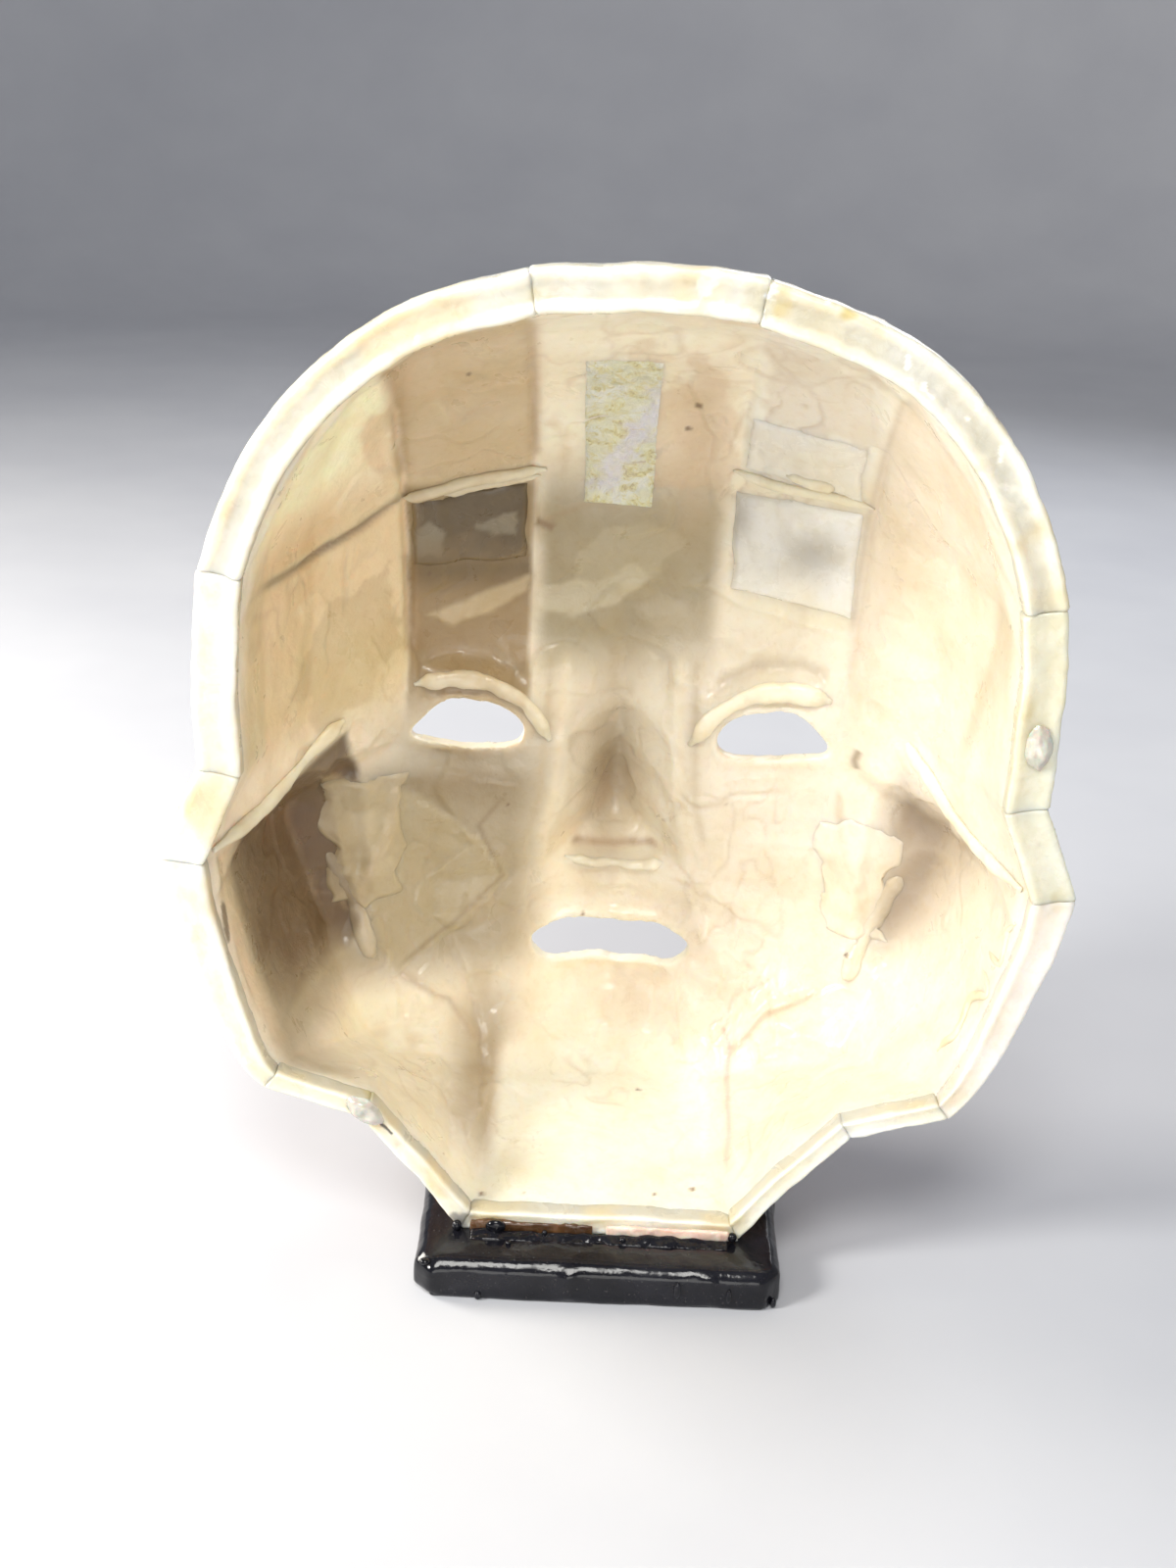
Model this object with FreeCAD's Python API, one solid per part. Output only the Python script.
import FreeCAD, Part
import os

# Thick-walled latex half-head mask, glued by its chin to a small enamelled plinth.
# Millimetres, +Z up. The face looks along -Y and the open back along +Y.
# The origin is the middle of the plinth's bottom face. Left is the wearer's left, +X.

# ---- driving dimensions ----------------------------------------------------------
mask_width = 217.0        # widest, across the two cheek wings
mask_height = 243.0       # chin to crown
nose_depth = 100.0        # back plane to the inside of the nose tip
wall = 5.5                # moulded latex wall
rim_width = 9.5           # rim lengths round the crown, temples and wings
jaw_rim_width = 4.5       # thinner rim lengths round the jaw and chin
rim_depth = 6.0           # front to back
foot_thickness = 5.0      # chin floor where it stands on the plinth

plinth_width = 93.0
plinth_depth = 90.0
plinth_height = 10.8
plinth_chamfer = 2.5      # round the top
plinth_corner = 4.5       # across the four upright corners
rim_setback = 14.5        # back of the plinth to the back plane of the mask

eye_spacing = 84.0        # centre to centre
eye_width = 31.0
eye_opening = 15.0
eye_level = 102.5         # lower edge of the eye openings above the chin
mouth_width = 45.0
mouth_opening = 15.0
mouth_level = 34.5        # lower edge of the mouth opening above the chin

tape_width = 19.0
tape_height = 44.0
tape_offset = 4.0         # to the wearer's left of the middle
tape_level = 172.0        # lower end above the chin
tape_thickness = 0.4
patch_thickness = 0.8     # reinforcing laminations
ridge_thickness = 1.8     # rolled upper edge of the brow laminations
ridge_height = 4.0

strip_height = 3.4        # glue strips on the back of the foot
strip_thickness = 1.2
strip_gap = 3.0           # between the two strips
enamel_reach = 3.2        # enamel run against the back of the foot
enamel_height = 1.6
blob_radius = 4.0         # lumps of clear resin on the rim joints
blob_height = 1.6
bed_inset = 3.0           # glue bed's sides, in from the foot's corners
bed_depth = 52.0          # glue bed under the chin, from the back of the shell

# ---- places worked out from them ---------------------------------------------------
back_y = plinth_depth / 2 - rim_setback
shell_back_y = back_y - rim_depth
chin_z = plinth_height
inner_half = mask_width / 2 - rim_width
inner_chin_z = chin_z + foot_thickness
inner_height = mask_height - foot_thickness - rim_width
net_depth = nose_depth - rim_depth

# The inner surface is a net of flat facets. Each station runs from the middle line out
# to the rim, as (out, forward, up) in per cent of the inner half width, the depth and
# the inner height: middle, inner crease, outer crease, wall knee, side wall, rim.
STATIONS = [
    ("crown", (0, 0, 100), (24, 0, 99), (47.5, 0, 96), (60, 0, 92.5), (70, 0, 88.5), (79.5, 0, 83)),
    ("dome", (0, 26, 96), (25.5, 25, 95.5), (52.5, 20, 93), (65, 14, 89), (77, 7, 82.5), (85.5, 0, 77)),
    ("forehead", (0, 50, 87.5), (26.5, 49, 87), (57, 42, 84.5), (74, 27, 80), (84, 13, 76), (89, 0, 72)),
    ("ledge", (0, 70, 76), (27.5, 70, 76), (59, 63, 73), (79, 43, 71.5), (88.5, 21, 69.5), (90.5, 0, 66.5)),
    ("brow", (0, 80, 62), (26.5, 80, 62), (59, 72, 61), (81, 49, 59.5), (89.5, 24, 59), (91, 0, 58.5)),
    ("temple", (0, 84, 49), (25, 77, 49), (60, 71, 48), (82, 49, 48.5), (89.5, 24, 49.5), (90.5, 0, 51)),
    ("lip", (0, 89, 43), (22, 77, 43), (60, 71, 42.5), (84, 47, 42.5), (92, 23, 40), (100, 0, 41)),
    ("wing", (0, 95, 37.5), (20, 78, 37), (59, 72, 37), (89, 57, 37), (96, 28, 37), (98.5, 0, 36)),
    ("cheek", (0, 100, 32), (19, 80, 31), (55, 75, 29), (84, 61, 28), (91, 30, 28), (94, 0, 28)),
    ("nostril", (0, 88, 27.5), (21, 82, 26.5), (52, 77, 24.5), (79, 62, 22), (87, 30, 22.5), (90.5, 0, 23)),
    ("mouth", (0, 86, 19.5), (23, 83, 19.5), (49, 74, 17.5), (73, 59, 14.5), (82, 29, 17), (87, 0, 19)),
    ("jaw", (0, 85, 11.5), (22.5, 80, 11.5), (44, 67, 9.5), (67, 54, 8.5), (75.5, 27, 12.5), (83, 0, 16.5)),
    ("shelf", (0, 78, 5), (17, 75, 4.5), (33, 62, 4.5), (61.5, 50, 7.5), (60.5, 25, 10.5), (59.5, 0, 13.5)),
    ("chin", (0, 64, 1.5), (16, 63, 1.5), (30, 60, 2.5), (45.5, 55, 5), (48, 27, 7), (50.5, 0, 9)),
    ("foot", (0, 0, 0), (17, 0, 0), (33.5, 0, 0), (39, 0, 3), (44, 0, 6), (47.5, 0, 7.5)),
]
COLUMNS = 5               # facets from the middle line to the rim
ROWS = len(STATIONS) - 1

FOOT_CORNER = 2           # column where the flat of the foot ends


def rim_step(station):
    """Steps along the rim, from the middle of the crown down to a station's rim point."""
    names = [row[0] for row in STATIONS]
    return COLUMNS + names.index(station)


# Where one rim length ends and the next begins, in steps from the middle of the crown.
CROWN_JOINT = 1
HEAD_JOINT = rim_step("forehead")
BLOB_JOINT = rim_step("brow")
TEMPLE_JOINT = rim_step("temple")
WING_JOINT = rim_step("lip")
JAW_JOINT = rim_step("jaw")
SHELF_JOINT = rim_step("shelf")
FOOT_JOINT = rim_step("foot") + COLUMNS - FOOT_CORNER


def net_point(row, column):
    """A point of the inner net; negative columns are the wearer's right."""
    out, forward, up = STATIONS[row][1 + abs(column)]
    side = 1 if column >= 0 else -1
    return FreeCAD.Vector(
        side * inner_half * out / 100,
        shell_back_y - net_depth * forward / 100,
        inner_chin_z + inner_height * up / 100,
    )


def rim_keys():
    """The net's edge on the wearer's left, from the middle of the crown to the foot's middle."""
    crown = [(0, column) for column in range(COLUMNS)]
    side = [(row, COLUMNS) for row in range(ROWS + 1)]
    foot = [(ROWS, column) for column in range(COLUMNS - 1, -1, -1)]
    return crown + side + foot


def full_rim_keys():
    """The net's whole edge, once round."""
    left = rim_keys()
    right = [(row, -column) for row, column in reversed(left[1:-1])]
    return left + right


def rim_band_width(step):
    """Rim width at a step along the rim, thin from the jaw corner to the foot."""
    if step >= FOOT_JOINT:
        return foot_thickness
    if step >= JAW_JOINT:
        return jaw_rim_width
    if step > WING_JOINT:
        share = (step - WING_JOINT) / (JAW_JOINT - WING_JOINT)
        return rim_width + (jaw_rim_width - rim_width) * share
    return rim_width


def mitre(before, here, after, width):
    """The point at the given width outside a corner of an outline in the XZ plane."""
    first = (here - before).normalize()
    second = (after - here).normalize()
    across_first = FreeCAD.Vector(first.z, 0, -first.x)
    across_second = FreeCAD.Vector(second.z, 0, -second.x)
    across = across_first + across_second
    across.normalize()
    stretch = max(across.dot(across_first), 0.75)
    return here - across * (width / stretch)


def build_net():
    """The inner points of the whole net, both sides."""
    rows = range(ROWS + 1)
    columns = range(-COLUMNS, COLUMNS + 1)
    return {(row, column): net_point(row, column) for row in rows for column in columns}


def facets(first_row=0, last_row=ROWS, first_column=-COLUMNS, last_column=COLUMNS):
    """Triangles of the net's cells, split the same way on both sides."""
    triangles = []
    for row in range(first_row, last_row):
        for column in range(first_column, last_column):
            a, b = (row, column), (row, column + 1)
            c, d = (row + 1, column + 1), (row + 1, column)
            if column >= 0:
                triangles += [(a, b, c), (a, c, d)]
            else:
                triangles += [(a, b, d), (b, c, d)]
    return triangles


def facet_normal(net, triangle):
    a, b, c = (net[key] for key in triangle)
    return (b - a).cross(c - a)


def inward_normals(net, triangles):
    """Unit normals at the net's points, pointing into the hollow of the mask."""
    normals = {key: FreeCAD.Vector() for key in net}
    for triangle in triangles:
        across = facet_normal(net, triangle).normalize()
        for key in triangle:
            normals[key] += across
    for across in normals.values():
        across.normalize()
    if normals[(ROWS // 2, 0)].y < 0:
        normals = {key: -across for key, across in normals.items()}
    return normals


def outer_net(net):
    """The outside of the wall: one wall out, and one rim width out along the edge."""
    normals = inward_normals(net, facets())
    outer = {key: point - normals[key] * wall for key, point in net.items()}
    keys = full_rim_keys()
    half = len(rim_keys())
    for step, key in enumerate(keys):
        before = net[keys[step - 1]]
        after = net[keys[(step + 1) % len(keys)]]
        steps_down = min(step, 2 * half - 2 - step)
        outer[key] = mitre(before, net[key], after, rim_band_width(steps_down))
        if key[0] == ROWS:
            outer[key].z = max(outer[key].z, chin_z)
    return outer


def closed_solid(polygons):
    """A solid from the flat polygons that enclose it, each wound to face outward."""
    faces = []
    for polygon in polygons:
        outline = Part.makePolygon(polygon + [polygon[0]])
        faces.append(Part.Face(outline))
    skin = Part.makeShell(faces)
    skin.sewShape()
    return Part.makeSolid(skin)


def outline_prism(outline, y_from, y_to):
    """A straight bar along Y whose section is a smooth closed curve through (x, z) points."""
    curve = Part.BSplineCurve()
    points = [FreeCAD.Vector(x, y_from, z) for x, z in outline]
    curve.interpolate(Points=points, PeriodicFlag=True)
    face = Part.Face(Part.Wire([curve.toShape()]))
    return face.extrude(FreeCAD.Vector(0, y_to - y_from, 0))


def corner_prism(outline, y_from, y_to):
    """A straight bar along Y whose section is a polygon of (x, z) points."""
    points = [FreeCAD.Vector(x, y_from, z) for x, z in outline]
    face = Part.Face(Part.makePolygon(points + [points[0]]))
    return face.extrude(FreeCAD.Vector(0, y_to - y_from, 0))


def box(x_range, y_range, z_range):
    low = FreeCAD.Vector(x_range[0], y_range[0], z_range[0])
    sizes = [high - start for start, high in (x_range, y_range, z_range)]
    return Part.makeBox(*sizes, low)


def eye_outline(side):
    """Hand-cut eye opening: flat along the top, drooping to its outer corner."""
    shape = [
        (0.00, 0.58), (0.10, 0.94), (0.36, 1.00), (0.64, 0.88),
        (0.88, 0.42), (0.98, 0.05), (0.74, 0.00), (0.42, 0.06), (0.12, 0.24),
    ]
    inner_end = (eye_spacing - eye_width) / 2
    low = chin_z + eye_level
    return [(side * (inner_end + out * eye_width), low + up * eye_opening) for out, up in shape]


def mouth_outline():
    """Hand-cut mouth opening: a low arch with a nearly straight lower edge."""
    left_half = [(0.46, 0.13), (0.84, 0.02), (1.00, 0.20), (0.86, 0.62), (0.48, 0.93)]
    right_half = [(-out, up) for out, up in reversed(left_half)]
    shape = [(0.0, 0.17)] + left_half + [(0.0, 1.0)] + right_half
    low = chin_z + mouth_level
    half = mouth_width / 2
    return [(out * half, low + up * mouth_opening) for out, up in shape]


def shell_skin(net, outer):
    """The wall between the two nets, closed along the back."""
    polygons = []
    for triangle in facets():
        polygons.append([net[key] for key in reversed(triangle)])
        polygons.append([outer[key] for key in triangle])
    keys = full_rim_keys()
    for step, key in enumerate(keys):
        following = keys[(step + 1) % len(keys)]
        polygons.append([outer[key], outer[following], net[following], net[key]])
    return closed_solid(polygons)


def mask_shell(net, outer):
    """The moulded mask with its eye and mouth openings, flat where it stands."""
    solid = shell_skin(net, outer)
    front = shell_back_y - nose_depth - 4 * wall
    inside = shell_back_y - nose_depth / 2
    for side in (1, -1):
        solid = solid.cut(outline_prism(eye_outline(side), front, inside))
    solid = solid.cut(outline_prism(mouth_outline(), front, inside))
    below = box((-mask_width, mask_width), (front, back_y), (0, chin_z))
    return solid.cut(below)


def rim_length(net, outer, first_step, last_step, side):
    """One length of the rim, butted against its neighbours on mitred ends."""
    keys = rim_keys()[first_step:last_step + 1]
    inner_line = [net[(row, side * column)] for row, column in keys]
    outer_line = [outer[(row, side * column)] for row, column in keys]
    outline = [(point.x, point.z) for point in inner_line + outer_line[::-1]]
    return corner_prism(outline, shell_back_y, back_y)


def middle_rim_length(net, outer, first_step, last_step):
    """A length that crosses the middle line, made of its two mirrored halves."""
    halves = [rim_length(net, outer, first_step, last_step, side) for side in (1, -1)]
    return halves[0].fuse(halves[1]).removeSplitter()


def rim_lengths(net, outer):
    """Every length of the rim by name."""
    last = len(rim_keys()) - 1
    pieces = {
        "rim_crown": middle_rim_length(net, outer, 0, CROWN_JOINT),
        "rim_foot": middle_rim_length(net, outer, FOOT_JOINT, last),
    }
    spans = {
        "rim_head": (CROWN_JOINT, HEAD_JOINT),
        "rim_temple": (HEAD_JOINT, TEMPLE_JOINT),
        "rim_wing": (TEMPLE_JOINT, WING_JOINT),
        "rim_cheek": (WING_JOINT, JAW_JOINT),
        "rim_jaw": (JAW_JOINT, SHELF_JOINT),
        "rim_chin": (SHELF_JOINT, FOOT_JOINT),
    }
    for name, (first, final) in spans.items():
        for side, word in ((1, "left"), (-1, "right")):
            pieces[name + "_" + word] = rim_length(net, outer, first, final, side)
    return pieces


def lining(net, rows, columns, thickness, outline):
    """A thin lamination on the inner facets, trimmed to an outline of (x, z) points."""
    triangles = facets(rows[0], rows[1], columns[0], columns[1])
    normals = inward_normals(net, facets())
    raised = {key: net[key] + normals[key] * thickness for tri in triangles for key in tri}
    polygons = []
    for triangle in triangles:
        polygons.append([net[key] for key in reversed(triangle)])
        polygons.append([raised[key] for key in triangle])
    top = [(rows[0], column) for column in range(columns[0], columns[1])]
    right = [(row, columns[1]) for row in range(rows[0], rows[1])]
    bottom = [(rows[1], column) for column in range(columns[1], columns[0], -1)]
    left = [(row, columns[0]) for row in range(rows[1], rows[0], -1)]
    keys = top + right + bottom + left
    for step, key in enumerate(keys):
        following = keys[(step + 1) % len(keys)]
        polygons.append([net[key], raised[key], raised[following]])
        polygons.append([net[key], raised[following], net[following]])
    slab = closed_solid(polygons)
    trim = corner_prism(outline, shell_back_y - 2 * nose_depth, back_y)
    return slab.common(trim)


def percent_outline(side, corners):
    """Corners in per cent of the inner half width and inner height, as (x, z)."""
    return [
        (side * inner_half * out / 100, inner_chin_z + inner_height * up / 100)
        for out, up in corners
    ]


def tape_patch(net):
    """Short length of clear tape up the middle of the forehead."""
    low = chin_z + tape_level
    middle = tape_offset
    outline = [
        (middle - tape_width / 2, low),
        (middle + tape_width / 2, low),
        (middle + tape_width / 2, low + tape_height),
        (middle - tape_width / 2, low + tape_height),
    ]
    return lining(net, (0, 5), (-1, 1), tape_thickness, outline)


def brow_ridge(net, side):
    """Rolled edge of lamination along the brow ledge, above the brow patch."""
    drop = 100 * ridge_height / inner_height
    corners = [(29, 76 - drop), (29, 76), (58, 73.2), (58, 73.2 - drop)]
    columns = (1, 2) if side > 0 else (-2, -1)
    return lining(net, (2, 4), columns, ridge_thickness, percent_outline(side, corners))


def brow_patch(net, ridge, side, low_inner, low_outer):
    """Lamination between the creases, butted up to the brow ridge from below."""
    corners = [(29, low_inner), (29, 75), (58, 72.2), (58, low_outer)]
    columns = (1, 2) if side > 0 else (-2, -1)
    patch = lining(net, (3, 5), columns, patch_thickness, percent_outline(side, corners))
    pieces = patch.cut(ridge).Solids
    return min(pieces, key=lambda piece: piece.CenterOfMass.z)


def upper_patch(net):
    """Lamination above the right brow ridge."""
    corners = [(30, 76.2), (29, 86), (56, 83.5), (57.5, 73.6)]
    return lining(net, (1, 4), (-2, -1), patch_thickness, percent_outline(-1, corners))


def cheek_patch(net, side, corners):
    """Ragged-edged lamination beside the mouth, down the fold of the cheek."""
    columns = (2, 4) if side > 0 else (-4, -2)
    return lining(net, (6, 10), columns, patch_thickness, percent_outline(side, corners))


def plinth():
    """Block with its top edge and upright corners chamfered."""
    half_width = plinth_width / 2
    half_depth = plinth_depth / 2
    body = box((-half_width, half_width), (-half_depth, half_depth), (0, plinth_height))
    uprights = [
        edge for edge in body.Edges
        if abs(edge.Vertexes[0].Z - edge.Vertexes[1].Z) > plinth_height / 2
    ]
    body = body.makeChamfer(plinth_corner, uprights)
    top = [edge for edge in body.Edges if edge.BoundBox.ZMin > plinth_height / 2]
    return body.makeChamfer(plinth_chamfer, top)


def glue_bed(shell):
    """Glue squeezed between the underside of the chin and the plinth."""
    foot_half = inner_half * STATIONS[ROWS][1 + FOOT_CORNER][0] / 100 - bed_inset
    filling = box(
        (-foot_half, foot_half),
        (shell_back_y - bed_depth, shell_back_y),
        (chin_z, inner_chin_z),
    )
    pieces = filling.cut(shell).Solids
    return min(pieces, key=lambda piece: piece.CenterOfMass.z)


def glue_strip(side):
    """Strip of squeezed-out glue on the back of the foot."""
    foot_half = inner_half * STATIONS[ROWS][1 + FOOT_CORNER][0] / 100
    ends = sorted((side * strip_gap / 2, side * foot_half))
    return box(ends, (back_y, back_y + strip_thickness), (chin_z, chin_z + strip_height))


def enamel_run():
    """Bead of enamel where the plinth's coat was run up to the glue strips."""
    foot_half = inner_half * STATIONS[ROWS][1 + FOOT_CORNER][0] / 100
    near = back_y + strip_thickness
    corners = [
        FreeCAD.Vector(-foot_half, near, chin_z),
        FreeCAD.Vector(-foot_half, near + enamel_reach, chin_z),
        FreeCAD.Vector(-foot_half, near, chin_z + enamel_height),
    ]
    section = Part.Face(Part.makePolygon(corners + [corners[0]]))
    return section.extrude(FreeCAD.Vector(2 * foot_half, 0, 0))


def resin_blob(net, outer, step, side):
    """Lump of clear resin over a rim joint, standing on the back of the rim."""
    row, column = rim_keys()[step]
    key = (row, side * column)
    middle = (net[key] + outer[key]) * 0.5
    middle.y = back_y
    along = FreeCAD.Vector(0, 1, 0)
    return Part.makeCone(blob_radius, blob_radius / 2, blob_height, middle, along)


def build():
    """Every sub-part by name."""
    net = build_net()
    outer = outer_net(net)
    shell = mask_shell(net, outer)
    pieces = {"mask_shell": shell}
    pieces.update(rim_lengths(net, outer))
    left_ridge = brow_ridge(net, 1)
    right_ridge = brow_ridge(net, -1)
    pieces["brow_ridge_left"] = left_ridge
    pieces["brow_ridge_right"] = right_ridge
    pieces["brow_patch_left"] = brow_patch(net, left_ridge, 1, 66, 65)
    pieces["brow_patch_right"] = brow_patch(net, right_ridge, -1, 62, 60)
    pieces["upper_patch_right"] = upper_patch(net)
    left_cheek = [(62, 40.5), (58, 24), (70, 22), (78, 25), (82, 39)]
    right_cheek = [(60, 36), (56, 24), (66, 20), (76, 24), (80, 35)]
    pieces["cheek_patch_left"] = cheek_patch(net, 1, left_cheek)
    pieces["cheek_patch_right"] = cheek_patch(net, -1, right_cheek)
    pieces["tape_patch"] = tape_patch(net)
    pieces["resin_blob_left"] = resin_blob(net, outer, SHELF_JOINT, 1)
    pieces["resin_blob_right"] = resin_blob(net, outer, BLOB_JOINT, -1)
    pieces["glue_bed"] = glue_bed(shell)
    pieces["glue_strip_left"] = glue_strip(1)
    pieces["glue_strip_right"] = glue_strip(-1)
    pieces["enamel_run"] = enamel_run()
    pieces["plinth"] = plinth()
    return pieces


os.makedirs("parts", exist_ok=True)
for name, shape in build().items():
    if len(shape.Solids) == 1:
        shape = shape.Solids[0]
    shape.exportStep("parts/" + name + ".step")
    print(name, len(shape.Solids), shape.isValid(), round(shape.Volume, 1))
